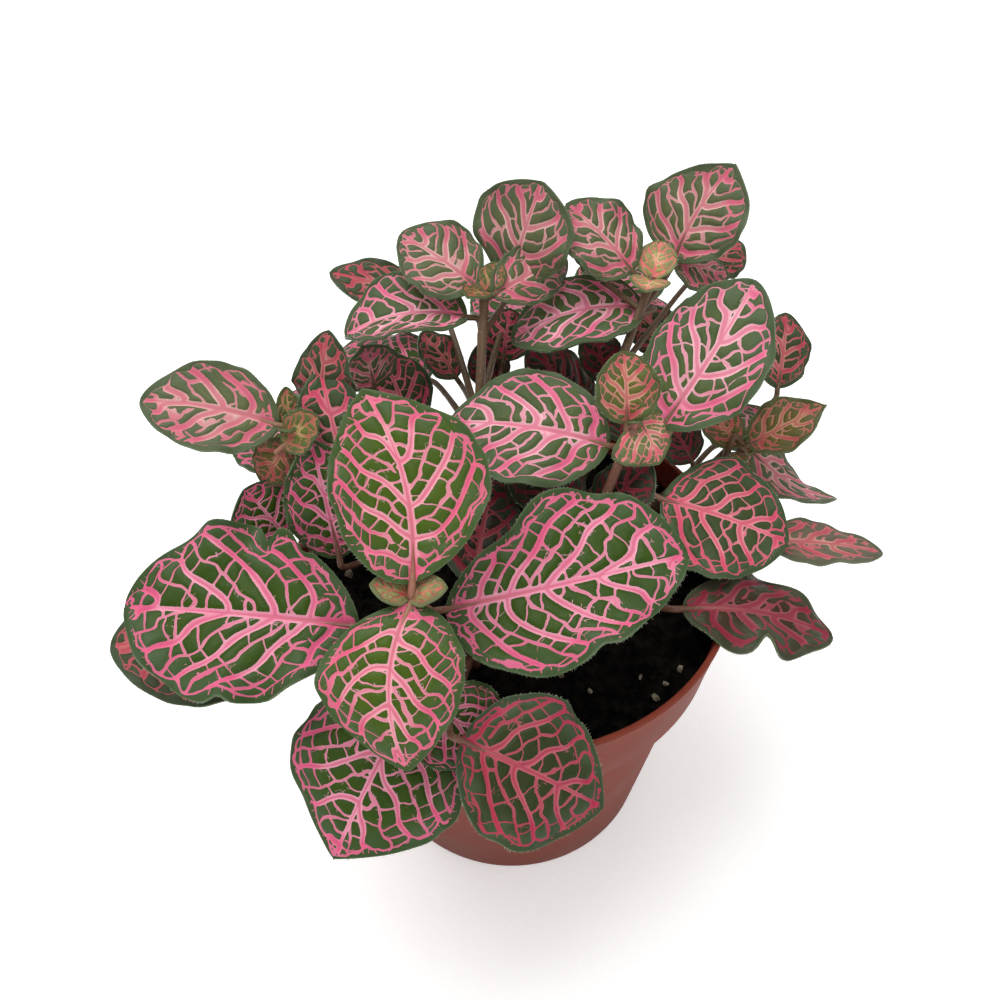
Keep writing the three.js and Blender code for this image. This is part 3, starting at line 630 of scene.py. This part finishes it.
def veinPlaces(leaf, u, t, length, scale):
    step = 1e-3
    half = np.maximum(halfWidth(leaf, u, t), 0.2)
    slope = (halfWidth(leaf, u + step, t) - halfWidth(leaf, u - step, t)) / (2 * step)
    passed = sideVeins(leaf, u, t, length)
    acrossRate = (sideVeins(leaf, u, t + step, length) - sideVeins(leaf, u, t - step, length)) / (2 * step)
    alongRate = (sideVeins(leaf, u + step, t, length) - sideVeins(leaf, u - step, t, length)) / (2 * step)
    perWidth = acrossRate / half
    perLength = (alongRate - perWidth * np.clip(slope, -200, 200) * t) / length
    gap = 1 / np.maximum(np.hypot(perWidth, perLength), 0.02)
    outward = np.hypot(u * length, 1.25 * half * t)
    rim = np.linspace(0, 1, 160)
    edge = np.full(len(u), 1e9)
    for side in (-1, 1):
        for rimU, rimHalf in zip(rim, halfWidth(leaf, rim, side)):
            edge = np.minimum(edge, np.hypot((u - rimU) * length, half * t - side * rimHalf))
    place = np.stack([u * length / scale, half * t / scale, passed], 1)
    reach = np.stack([gap / scale, outward / scale, edge / scale], 1)
    return place, reach


def storeVectors(mesh, name, values):
    layer = mesh.attributes.new(name, "FLOAT_VECTOR", "POINT")
    layer.data.foreach_set("vector", np.asarray(values, np.float32).ravel())


def storeColour(mesh, name, colour, fourth=1.0):
    layer = mesh.attributes.new(name, "FLOAT_COLOR", "POINT")
    layer.data.foreach_set("color", np.tile([*colour, fourth], len(mesh.vertices)).astype(np.float32))


def leafLength(leaf):
    return float(np.linalg.norm(np.subtract(leaf["tip"], leaf["base"])))


def growBlade(name, leaf):
    length = leafLength(leaf)
    scale = (length / blade["fullLength"]) ** 0.5
    scale = min(blade["largestNet"], max(blade["smallestNet"], scale))
    rows = max(10, round(blade["longerAlong"] * length / blade["grid"]))
    columns = 2 * max(5, round(leaf["width"] / blade["grid"] / 2))
    deselectAll()
    bpy.ops.mesh.primitive_grid_add(x_subdivisions=rows, y_subdivisions=columns, size=2)
    piece = bpy.context.object
    piece.name = piece.data.name = name
    mesh = piece.data
    flat = np.empty(len(mesh.vertices) * 3)
    mesh.vertices.foreach_get("co", flat)
    flat = flat.reshape(-1, 3)
    u = (1 - np.cos(np.pi * (flat[:, 0] + 1) / 2)) / 2
    t = -flat[:, 1]
    place, reach = veinPlaces(leaf, u, t, length, scale)
    look = looks[leaf["look"]]
    reach[:, 1] /= look.get("sparse", 1)
    points = bladePoints(leaf, u, t)
    fraction = place[:, 2] - np.floor(place[:, 2])
    toSide = np.minimum(fraction, 1 - fraction) * reach[:, 0]
    ribGroove = blade["ribGroove"] * (1 - blade["ribGrooveFades"] * u) * np.exp(-place[:, 1] ** 2)
    sideGroove = blade["sideGroove"] * np.exp(-((toSide / blade["sideGrooveWidth"]) ** 2))
    sideGroove *= curl(reach[:, 2], *blade["sideGrooveStarts"])
    relief = -scale * np.maximum(ribGroove, sideGroove)
    points += bladeNormals(leaf, u, t) * relief[:, None]
    mesh.vertices.foreach_set("co", (points * mm).ravel())
    storeVectors(mesh, "leafPlace", place)
    storeVectors(mesh, "leafReach", reach)
    storeVectors(mesh, "leafForm", np.stack([u, np.abs(t), np.full(len(u), leaf["seed"])], 1))
    storeColour(mesh, "cellColour", look["cell"])
    storeColour(mesh, "veinColour", look["vein"], 0.5 + look.get("bold", 0))
    bpy.ops.object.mode_set(mode="EDIT")
    bpy.ops.mesh.select_all(action="SELECT")
    bpy.ops.mesh.remove_doubles(threshold=blade["mergeUnder"] * mm)
    bpy.ops.object.mode_set(mode="OBJECT")
    mesh.materials.append(leafTop)
    mesh.materials.append(leafUnder)
    thicken = piece.modifiers.new("thicken", "SOLIDIFY")
    thicken.thickness = blade["thickness"] * mm
    thicken.offset = 0
    thicken.material_offset = 1
    bpy.ops.object.modifier_apply(modifier=thicken.name)
    bpy.ops.object.shade_smooth_by_angle(angle=math.radians(blade["smoothUnder"]))
    return piece


class LeafDesk(Desk):  # a leaf's material, worked out from where each point lies on its blade
    def __init__(self, name):
        super().__init__(name, Specular_IOR_Level=0.14)
        self.along, self.across, self.passed = self.split(self.attribute("leafPlace"))
        self.gap, self.outward, self.edge = self.split(self.attribute("leafReach"))
        self.u, self.tau, self.seed = self.split(self.attribute("leafForm"))
        self.grain = self.combine(self.along, self.across, self.seed)
        self.strip = self.calc("FLOOR", self.passed)
        self.fraction = self.minus(self.passed, self.strip)
        self.middle = self.minus(self.fraction, 0.5)
        self.cell = self.attribute("cellColour", "Color")
        self.vein = self.attribute("veinColour", "Color")
        self.bold = self.minus(self.attribute("veinColour", "Alpha"), 0.5)
        self.fewer = self.times(self.size(self.bold), net["boldHasFewer"])

    def drift(self, scale, low, high, detail=1):  # a value that wanders over the blade
        return self.ease(self.noise(self.grain, scale, detail), 0.3, 0.7, low, high)

    # Each of these gives the distance from its vein's edge in mm, below zero inside the vein.
    def sideVein(self):
        near = self.least(self.fraction, self.minus(1, self.fraction))
        half = self.ease(self.tau, 0.1, 1, *net["sideHalf"])
        half = self.times(half, self.ease(self.gap, 0.3, 3.0, 0.3, 1.0))
        half = self.plus(half, self.drift(0.25, -0.1, 0.1))
        return self.minus(self.times(near, self.gap), self.plus(half, self.bold))

    def forkVein(self):  # and whether a point lies beyond the fork
        forkAt = self.line(self.noise(self.grain, 0.22, 1), 0.5, -0.25)
        away = self.times(self.size(self.minus(self.middle, forkAt)), self.gap)
        forkGap = net["forkGap"]
        half = self.ease(self.gap, forkGap - 0.4, forkGap + 0.4, -0.4, net["forkHalf"])
        wide = self.calc("GREATER_THAN", self.gap, forkGap)
        return self.minus(away, half), self.times(self.calc("GREATER_THAN", self.middle, forkAt), wide)

    def rungVein(self, beyond):  # one for each step of each strip, at random in its step
        place = self.calc("DIVIDE", self.outward, net["rungGap"])
        place = self.plus(place, self.line(self.strip, net["stripShift"], self.seed))
        place = self.plus(place, self.calc("POWER", self.tau, 2))
        place = self.plus(place, self.line(self.noise(self.grain, 0.25, 1), 0.7, -0.35))
        step = self.calc("FLOOR", place)
        half = self.calc("SIGN", self.across)
        which = self.combine(step, self.line(beyond, 0.5, self.strip), half)
        first, second, third = self.split(self.chance(which))
        leaning = self.minus(second, 0.5)
        rungAt = self.plus(self.line(first, 0.5, 0.25), self.times(leaning, self.middle))
        away = self.size(self.minus(self.minus(place, step), rungAt))
        away = self.times(away, net["rungGap"])
        rung = self.minus(away, self.line(third, net["rungVaries"], net["rungHalf"]))
        stops = self.times(self.middle, self.times(self.calc("SIGN", leaning), self.gap))
        return self.most(rung, self.minus(stops, self.ease(first, 0.08, 0.1, 0, 9)))

    def outside(self):  # how far out a point is past the loops that join the side veins
        bow = self.size(self.line(self.fraction, 2, -1))
        loopAt = self.line(self.calc("POWER", bow, 2), net["loopBow"], net["loopInset"])
        loopAt = self.plus(loopAt, self.drift(0.22, -0.45, 0.6))
        return self.minus(loopAt, self.edge)

    def loopVein(self, outside):
        half = self.ease(self.noise(self.grain, 0.16, 1), 0.30, 0.42, -0.1, net["loopHalf"])
        return self.minus(self.size(outside), self.minus(half, self.fewer))

    def midrib(self):
        half = self.line(self.bold, 0.7, self.ease(self.u, 0, 1, *net["ribHalf"]))
        rib = self.minus(self.size(self.across), half)
        return self.most(rib, self.minus(net["ribInset"], self.edge))

    def spurs(self, outside):  # outside the loops
        comb = self.times(self.size(self.across), self.ease(self.u, 0.5, 0.9, 0, -net["spursPerMm"]))
        comb = self.plus(comb, self.times(self.noise(self.grain, 0.5), 1.2))
        comb = self.line(self.along, net["spursPerMm"], comb)
        comb = self.size(self.minus(self.calc("FRACT", comb), 0.5))
        spur = self.line(comb, 1.6, -0.13)
        spurEnd = self.ease(self.noise(self.grain, 0.8), 0.35, 0.65, 0.5, 1.3)
        spur = self.most(spur, self.minus(spurEnd, self.edge))
        return self.most(spur, self.times(outside, -1))

    def threads(self, outside, veinNet):  # the finest veins, inside the net's meshes here and there
        fine = self.line(self.cells(self.grain, 0.42, "DISTANCE_TO_EDGE"), 2.4, -0.06)
        fine = self.plus(fine, self.ease(self.noise(self.grain, 0.35, 0), 0.58, 0.64, 1.0, 0.0))
        fine = self.most(fine, self.plus(outside, 0.3))
        return self.most(fine, self.minus(veinNet, 0.6))

    def veinFinish(self, veinNet, side, rib):  # the colour in the veins, and that of their rims
        vivid, soft, cream, deep, small = (self.tint(self.vein, share) for share in veinTints.values())
        inward = self.plus(self.ease(self.edge, 1.5, 9), self.drift(0.12, -0.4, 0.4))
        finish = self.mix(self.ease(inward, 0, 1), vivid, soft)
        rim = self.mix(self.ease(inward, 0, 1, 0.15, 0.75), finish, cream)
        finish = self.mix(self.ease(veinNet, -0.14, -0.03), finish, rim)
        finish = self.mix(self.ease(veinNet, -0.50, -0.32, 0.6, 0.0), finish, deep)
        finish = self.mix(self.ease(self.least(side, rib), 0.0, 0.5, 0.0, 0.5), finish, small)
        ribCore = self.times(self.ease(rib, -0.75, -0.35, 1, 0), self.ease(self.u, 0.05, 0.6, 0.85, 0.0))
        return self.mix(ribCore, finish, self.mix(0.5, deep, (0.44, 0.20, 0.17, 1))), rim

    def greenFinish(self):
        green = self.mix(self.drift(0.22, 0.0, 0.55, 3), self.cell, self.tint(self.cell, (1.5, 1.35, 1.3)))
        green = self.mix(self.ease(self.u, 0, 0.45, 0.45, 0), green, self.tint(self.cell, (1.35, 1.3, 0.4)))
        # Painted sheen: patches of the cells turn greyer towards the edge, where the gloss would reflect the
        # pale room.
        sheenPatches = self.ease(self.noise(self.grain, 0.15, 1), 0.3, 0.6, 0.3, 1)
        paintedSheen = self.times(self.ease(self.edge, 8, 1.5), sheenPatches)
        green = self.mix(paintedSheen, green, self.mix(0.5, green, (0.075, 0.115, 0.065, 1)))
        # Painted glints: sparse pale specks in the cells.
        fleck = self.ease(self.cells(self.grain, 1.25), 0.04, 0.13, 0.55, 0.0)
        green = self.mix(fleck, green, (0.16, 0.22, 0.11, 1))
        band = self.ease(self.edge, 0.7, 2.0, 0.75, 0.0)
        green = self.mix(band, green, self.mix(0.5, self.cell, (0.046, 0.078, 0.040, 1)))
        return self.mix(self.ease(self.edge, 0.05, 0.3, 0.5, 0.0), green, (0.13, 0.18, 0.09, 1))


def leafMaterial(name, under):
    desk = LeafDesk(name)
    side = desk.sideVein()
    fork, beyond = desk.forkVein()
    rib = desk.midrib()
    outside = desk.outside()
    veinNet = desk.joined(desk.least(desk.rungVein(beyond), fork), side, 0.5)
    veinNet = desk.most(veinNet, outside)
    veinNet = desk.joined(veinNet, desk.loopVein(outside), 0.35)
    veinNet = desk.joined(veinNet, rib, 0.5)
    thin = desk.least(desk.spurs(outside), desk.threads(outside, veinNet))
    ragged = desk.line(desk.noise(desk.grain, 2.6, 3), 0.20, -0.10)
    veinNet = desk.plus(veinNet, ragged)
    thin = desk.plus(desk.plus(desk.fewer, thin), desk.times(ragged, 0.5))

    veinFinish, rimFinish = desk.veinFinish(veinNet, side, rib)
    green = desk.greenFinish()
    isThin = desk.ease(thin, -0.03, 0.05, 0.8, 0.0)
    isVein = desk.ease(veinNet, -0.03, 0.05, 1.0, 0.0)
    height = desk.ease(veinNet, -0.5, 0.9)
    if under:
        pale = desk.mix(0.55, green, (0.16, 0.17, 0.09, 1))
        colour = desk.mix(isVein, pale, desk.mix(0.5, veinFinish, (0.55, 0.27, 0.22, 1)))
        height = desk.minus(1, height)
    else:
        colour = desk.mix(isVein, desk.mix(isThin, green, rimFinish), veinFinish)
    skin = desk.bump(desk.noise(desk.grain, 3.2, 3), 0.00005)
    normal = desk.bump(height, 0.00022, skin)
    roughness = desk.plus(desk.drift(0.5, 0.36, 0.5, 2), desk.times(isVein, 0.06))
    return desk.finish(colour, roughness, normal)


leafTop = leafMaterial("veinedLeaf", under=False)
leafUnder = leafMaterial("leafUnderside", under=True)

shoot = dict(
    footRadius=1.35,
    tipRadius=0.85,
    bow=0.1,
    swelling=0.2,
    stalkRadius=0.68,
    underBlade=2.5,
    approach=0.8,
    level=67.2,
    crown=1.6,
    holeDepth=9,
    footClear=0.3,  # above the hole's bottom
    steps=40,
    stalkSteps=24,
    nodeLength=0.03,  # of the swelling at each pair of leaves, as a share of the stem
    stalkBase=1.25,  # how much thicker a stalk is where it leaves the stem
    stalkBaseSteps=4,
    stalkTaper=0.6,  # over the half of it that runs under the blade
    smallestStalk=0.75,  # how much thinner the smallest blade's stalk is
    fullStalk=30,  # mm of blade, from which the stalk is at its full size
    stalkUnder=9,  # mm of the blade that the stalk runs on under, as it thins to nothing
    sink=0.25,  # mm that each step of it lies deeper
)


def throughPoints(points, t):  # the centripetal curve that the frame's stems follow
    points = [np.array(p, float) for p in points]
    points = [2 * points[0] - points[1], *points, 2 * points[-1] - points[-2]]
    place = min(t, 1 - 1e-9) * (len(points) - 3)
    k = int(place)
    w = place - k
    a, b, c, d = points[k : k + 4]
    ab, bc, cd = (max(np.linalg.norm(q - p) ** 0.5, 1e-6) for p, q in ((a, b), (b, c), (c, d)))
    leave = ((b - a) / ab - (c - a) / (ab + bc) + (c - b) / bc) * bc
    arrive = ((c - b) / bc - (d - b) / (bc + cd) + (d - c) / cd) * bc
    first = 2 * b - 2 * c + leave + arrive
    second = -3 * b + 3 * c - 2 * leave - arrive
    return first * w**3 + second * w**2 + leave * w + b


def stemPoints(plan):
    foot, bud = plan["foot"], plan["bud"]
    neck = np.array([*foot, shoot["level"] + shoot["crown"]], float)
    ground = np.array([*foot, shoot["level"] - shoot["holeDepth"] + shoot["footClear"]])
    bend = (neck + np.array(bud, float)) / 2
    bend[2] += shoot["bow"] * math.hypot(bud[0] - foot[0], bud[1] - foot[1])
    return [ground, neck, bend, bud]


def addTube(name, points, radii):
    deselectAll()
    bpy.ops.curve.primitive_bezier_curve_add()
    tube = bpy.context.object
    tube.name = name
    tube.data.splines.clear()
    line = tube.data.splines.new("POLY")
    line.points.add(len(points) - 1)
    for spot, point, radius in zip(line.points, points, radii):
        spot.co = (*(np.array(point) * mm), 1)
        spot.radius = radius
    tube.data.dimensions = "3D"
    tube.data.bevel_depth = mm
    tube.data.bevel_resolution = 4
    tube.data.use_fill_caps = True
    bpy.ops.object.convert(target="MESH")
    bpy.ops.object.shade_smooth()
    return bpy.context.object


def addStem(plan):
    path = stemPoints(plan)
    steps = shoot["steps"]
    last = shoot["stalkSteps"]
    points = [throughPoints(path, i / steps) for i in range(steps + 1)]
    radii = []
    for i in range(steps + 1):
        t = i / steps
        nodes = sum(
            math.exp(-(((t - leaf["at"]) / shoot["nodeLength"]) ** 2)) for leaf in plan["leaves"][:8:2]
        )
        plain = shoot["footRadius"] + (shoot["tipRadius"] - shoot["footRadius"]) * t
        radii.append(plain * (1 + shoot["swelling"] * min(1, nodes)))
    tubes = [addTube(plan["name"] + "_stem", points, radii)]
    for leaf in plan["leaves"]:
        full = {**leafDefaults, "seed": 0, **leaf}
        length = leafLength(full)
        reach = min(0.6, shoot["stalkUnder"] / length)
        ends = np.array([0, min(1 / 3, shoot["underBlade"] / length), reach])
        foot, under, beyond = bladePoints(full, ends, np.zeros(3))
        sunk = np.array([0, 0, shoot["sink"]])
        inward = foot - shoot["approach"] * (under - foot)
        route = [throughPoints(path, leaf["at"]), inward, foot - sunk, under - 2 * sunk, beyond - 3 * sunk]
        stalk = [throughPoints(route, i / last) for i in range(last + 1)]
        least = shoot["smallestStalk"]
        thick = shoot["stalkRadius"] * (least + (1 - least) * min(1, length / shoot["fullStalk"]))
        girth = []
        for i in range(last + 1):
            wider = shoot["stalkBase"] - (shoot["stalkBase"] - 1) * min(1, i / shoot["stalkBaseSteps"])
            taper = shoot["stalkTaper"] * max(0, i - last / 2) / (last / 2)
            girth.append(thick * wider * (1 - taper))
        tubes.append(addTube(plan["name"] + "_stalk", stalk, girth))
    deselectAll()
    for tube in tubes:
        tube.select_set(True)
    bpy.context.view_layer.objects.active = tubes[0]
    bpy.ops.object.join()
    piece = bpy.context.object
    piece.data.materials.clear()
    piece.data.materials.append(stemSkin)
    settle(piece, plan["name"])


def stemMaterial():
    desk = Desk("fleshyStem", Specular_IOR_Level=0.4)
    place = desk.objectPlace()
    depth, height = desk.split(place)[1:]
    patch = desk.noise(place, 220, 3)
    colour = desk.mix(desk.ease(patch, 0.35, 0.65), (0.26, 0.085, 0.065, 1), (0.30, 0.15, 0.085, 1))
    # Painted shade: the stems darken towards the soil under the leaves and towards the back of the plant.
    colour = desk.mix(desk.ease(height, 0.098, 0.075, 0.0, 0.75), colour, (0.085, 0.038, 0.022, 1))
    colour = desk.mix(desk.ease(depth, 0.0, 0.03, 0.0, 0.75), colour, (0.075, 0.060, 0.024, 1))
    fleck = desk.ease(desk.cells(place, 1500), 0.1, 0.25, 0.4, 0.0)
    colour = desk.mix(fleck, colour, (0.55, 0.38, 0.28, 1))
    roughness = desk.ease(patch, 0.3, 0.7, 0.4, 0.55)
    return desk.finish(colour, roughness, desk.bump(desk.noise(place, 1400, 3), 0.00012))


stemSkin = stemMaterial()


def budPair(plan):
    bud = plan["bud"]
    size = {**budLeaf, **plan["budShape"]}
    shape = {key: size[key] for key in ("width", "arch", "fold", "wave")}
    rise = math.radians(size["rise"])
    pair = []
    for turn in (0, 180):
        heading = math.radians(plan["budHeading"] + turn)
        out = size["length"] * math.cos(rise)
        tip = (bud[0] + out * math.cos(heading), bud[1] + out * math.sin(heading))
        tip += (bud[2] + size["length"] * math.sin(rise),)
        base = (bud[0], bud[1], bud[2] - size["sunk"])
        pair.append(dict(base=base, tip=tip, look=plan["budLook"], ruffle=0.05, **shape))
    return pair


# Fine hairs stand along the edges of all but the smallest leaves.
hair = dict(
    spacing=0.42,
    shortest=0.3,
    longest=0.65,
    radius=0.04,
    smallestLeaf=9,
    edgeToLength=1.2,  # a blade's edge on one side, as a share of its length
    root=0.995,  # how far out across the half blade
    inside=0.93,
    lean=0.4,  # towards the tip
    stray=0.25,
)


def hairMaterial():
    desk = Desk("fineHair", Specular_IOR_Level=0.2)
    place = desk.objectPlace()
    colour = desk.mix(desk.noise(place, 300), (0.30, 0.36, 0.24, 1), (0.50, 0.50, 0.40, 1))
    roughness = desk.ease(desk.noise(place, 900), 0.3, 0.7, 0.5, 0.7)
    return desk.finish(colour, roughness, desk.bump(desk.noise(place, 4000), 0.00001))


fineHair = hairMaterial()


def hairSpots(leaf):  # roots and directions along both edges
    roots = []
    directions = []
    for side in (-1, 1):
        count = round(hair["edgeToLength"] * leafLength(leaf) / hair["spacing"])
        u = np.array([hairDice.uniform(0.03, 0.97) for i in range(count)])
        rim = bladePoints(leaf, u, np.full(count, hair["root"] * side))
        inner = bladePoints(leaf, u, np.full(count, hair["inside"] * side))
        ahead = bladePoints(leaf, u + 0.01, np.full(count, hair["root"] * side))
        outward = rim - inner
        outward /= np.linalg.norm(outward, axis=1)[:, None]
        edge = ahead - rim
        edge /= np.linalg.norm(edge, axis=1)[:, None]
        drift = np.array([[hairDice.gauss(0, hair["stray"]) for k in range(3)] for i in range(count)])
        directions.append(outward + hair["lean"] * edge + drift)
        roots.append(rim)
    return np.concatenate(roots), np.concatenate(directions)


def addHairs(name, leaves):
    spots = [hairSpots(leaf) for leaf in leaves if leafLength(leaf) > hair["smallestLeaf"]]
    if not spots:
        return
    roots = np.concatenate([spot[0] for spot in spots])
    directions = np.concatenate([spot[1] for spot in spots])
    directions /= np.linalg.norm(directions, axis=1)[:, None]
    count = len(roots)
    lengths = np.array([hairDice.uniform(hair["shortest"], hair["longest"]) for i in range(count)])
    sideways = np.cross(directions, [0.3, 0.5, 0.81])
    sideways /= np.linalg.norm(sideways, axis=1)[:, None]
    other = np.cross(directions, sideways)
    corners = [roots + directions * lengths[:, None]]
    for turn in (0, 120, 240):
        angle = math.radians(turn)
        corners.append(roots + hair["radius"] * (math.cos(angle) * sideways + math.sin(angle) * other))
    points = np.stack(corners, 1).reshape(-1, 3) * mm
    faces = []
    for i in range(0, 4 * count, 4):
        faces += [(i, i + 1, i + 2), (i, i + 2, i + 3), (i, i + 3, i + 1), (i + 3, i + 2, i + 1)]
    mesh = bpy.data.meshes.new(name + "_hairs")
    mesh.from_pydata(points.tolist(), [], faces)
    piece = bpy.data.objects.new(name + "_hairs", mesh)
    bpy.context.collection.objects.link(piece)
    mesh.materials.append(fineHair)
    settle(piece, name)


def makeLeafyStem(plan):
    addStem(plan)
    leaves = []
    for number, given in enumerate(plan["leaves"] + budPair(plan), 1):
        leaf = {**leafDefaults, **given, "seed": dice.uniform(0, 40)}
        settle(growBlade(f"{plan['name']}_leaf{number}", leaf), plan["name"])
        leaves.append(leaf)
    addHairs(plan["name"], leaves)


for plan in leafyStems:
    makeLeafyStem(plan)
    print(plan["name"], "grown")


def soilMaterial():
    desk = Desk("dampPeatAndShade", Specular_IOR_Level=0.03)
    place = desk.objectPlace()
    lumps = desk.noise(place, 420, 5, 0.65)
    # Partly the dark peat's own colour and partly painted shade: it is kept near black, like the soil in
    # shadow under the leaves.
    colour = desk.mix(desk.ease(lumps, 0.35, 0.75), (0.0015, 0.0012, 0.0012, 1), (0.010, 0.008, 0.006, 1))
    roughness = desk.ease(lumps, 0.3, 0.7, 0.95, 0.7)
    rough = desk.bump(lumps, 0.0008)
    return desk.finish(colour, roughness, desk.bump(desk.noise(place, 2500, 4), 0.0002, rough))


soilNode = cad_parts["soil"]
soilNode.data.materials.clear()
soilNode.data.materials.append(soilMaterial())

# Loose grains on the soil, in mm: those that are seen in front have their own places.
crumbs = dict(count=420, smallest=0.4, largest=1.6, reach=39.5, height=67.3, seen=())
perlite = dict(
    count=40,
    smallest=0.65,
    largest=1.3,
    reach=38,
    height=67.8,
    seen=[(14.7, -27.1), (29.1, -24.9), (32, -21.5), (24.3, -23.6), (27, -28)],
)


def perliteMaterial():
    desk = Desk("paleGrain", Specular_IOR_Level=0.2)
    place = desk.objectPlace()
    dirt = desk.noise(place, 900, 3)
    colour = desk.mix(desk.ease(dirt, 0.35, 0.7), (0.34, 0.30, 0.22, 1), (0.12, 0.10, 0.07, 1))
    roughness = desk.ease(dirt, 0.3, 0.7, 0.7, 0.9)
    return desk.finish(colour, roughness, desk.bump(desk.noise(place, 3000, 3), 0.0001))


def scatter(name, plan, material):  # one uneven grain, copied over the soil
    deselectAll()
    bpy.ops.mesh.primitive_ico_sphere_add(subdivisions=1, radius=mm)
    grain = bpy.context.object
    for vertex in grain.data.vertices:
        vertex.co *= grainDice.uniform(0.7, 1.2)
    copies = [grain]
    for i in range(plan["count"] - 1):
        twin = grain.copy()
        twin.data = grain.data.copy()
        bpy.context.collection.objects.link(twin)
        copies.append(twin)
    for number, twin in enumerate(copies):
        far = plan["reach"] * math.sqrt(grainDice.uniform(0, 1))
        angle = grainDice.uniform(0, 2 * math.pi)
        x, y = far * math.cos(angle), far * math.sin(angle)
        if number < len(plan["seen"]):
            x, y = plan["seen"][number]
        lift = shoot["crown"] * (1 - (math.hypot(x, y) / plan["reach"]) ** 2)
        size = plan["smallest"] + (plan["largest"] - plan["smallest"]) * grainDice.uniform(0, 1) ** 3
        twin.location = (x * mm, y * mm, (plan["height"] + lift) * mm)
        twin.rotation_euler = [grainDice.uniform(0, 6) for k in range(3)]
        twin.scale = (size, size * grainDice.uniform(0.6, 1), size * grainDice.uniform(0.5, 0.9))
        twin.select_set(True)
    bpy.context.view_layer.objects.active = grain
    bpy.ops.object.join()
    bpy.ops.object.transform_apply(location=True, rotation=True, scale=True)
    grain.name = grain.data.name = name
    grain.data.materials.append(material)
    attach(grain, "root")


scatter("soilCrumbs", crumbs, soilNode.data.materials[0])
scatter("perliteGrains", perlite, perliteMaterial())
print("soil scattered")
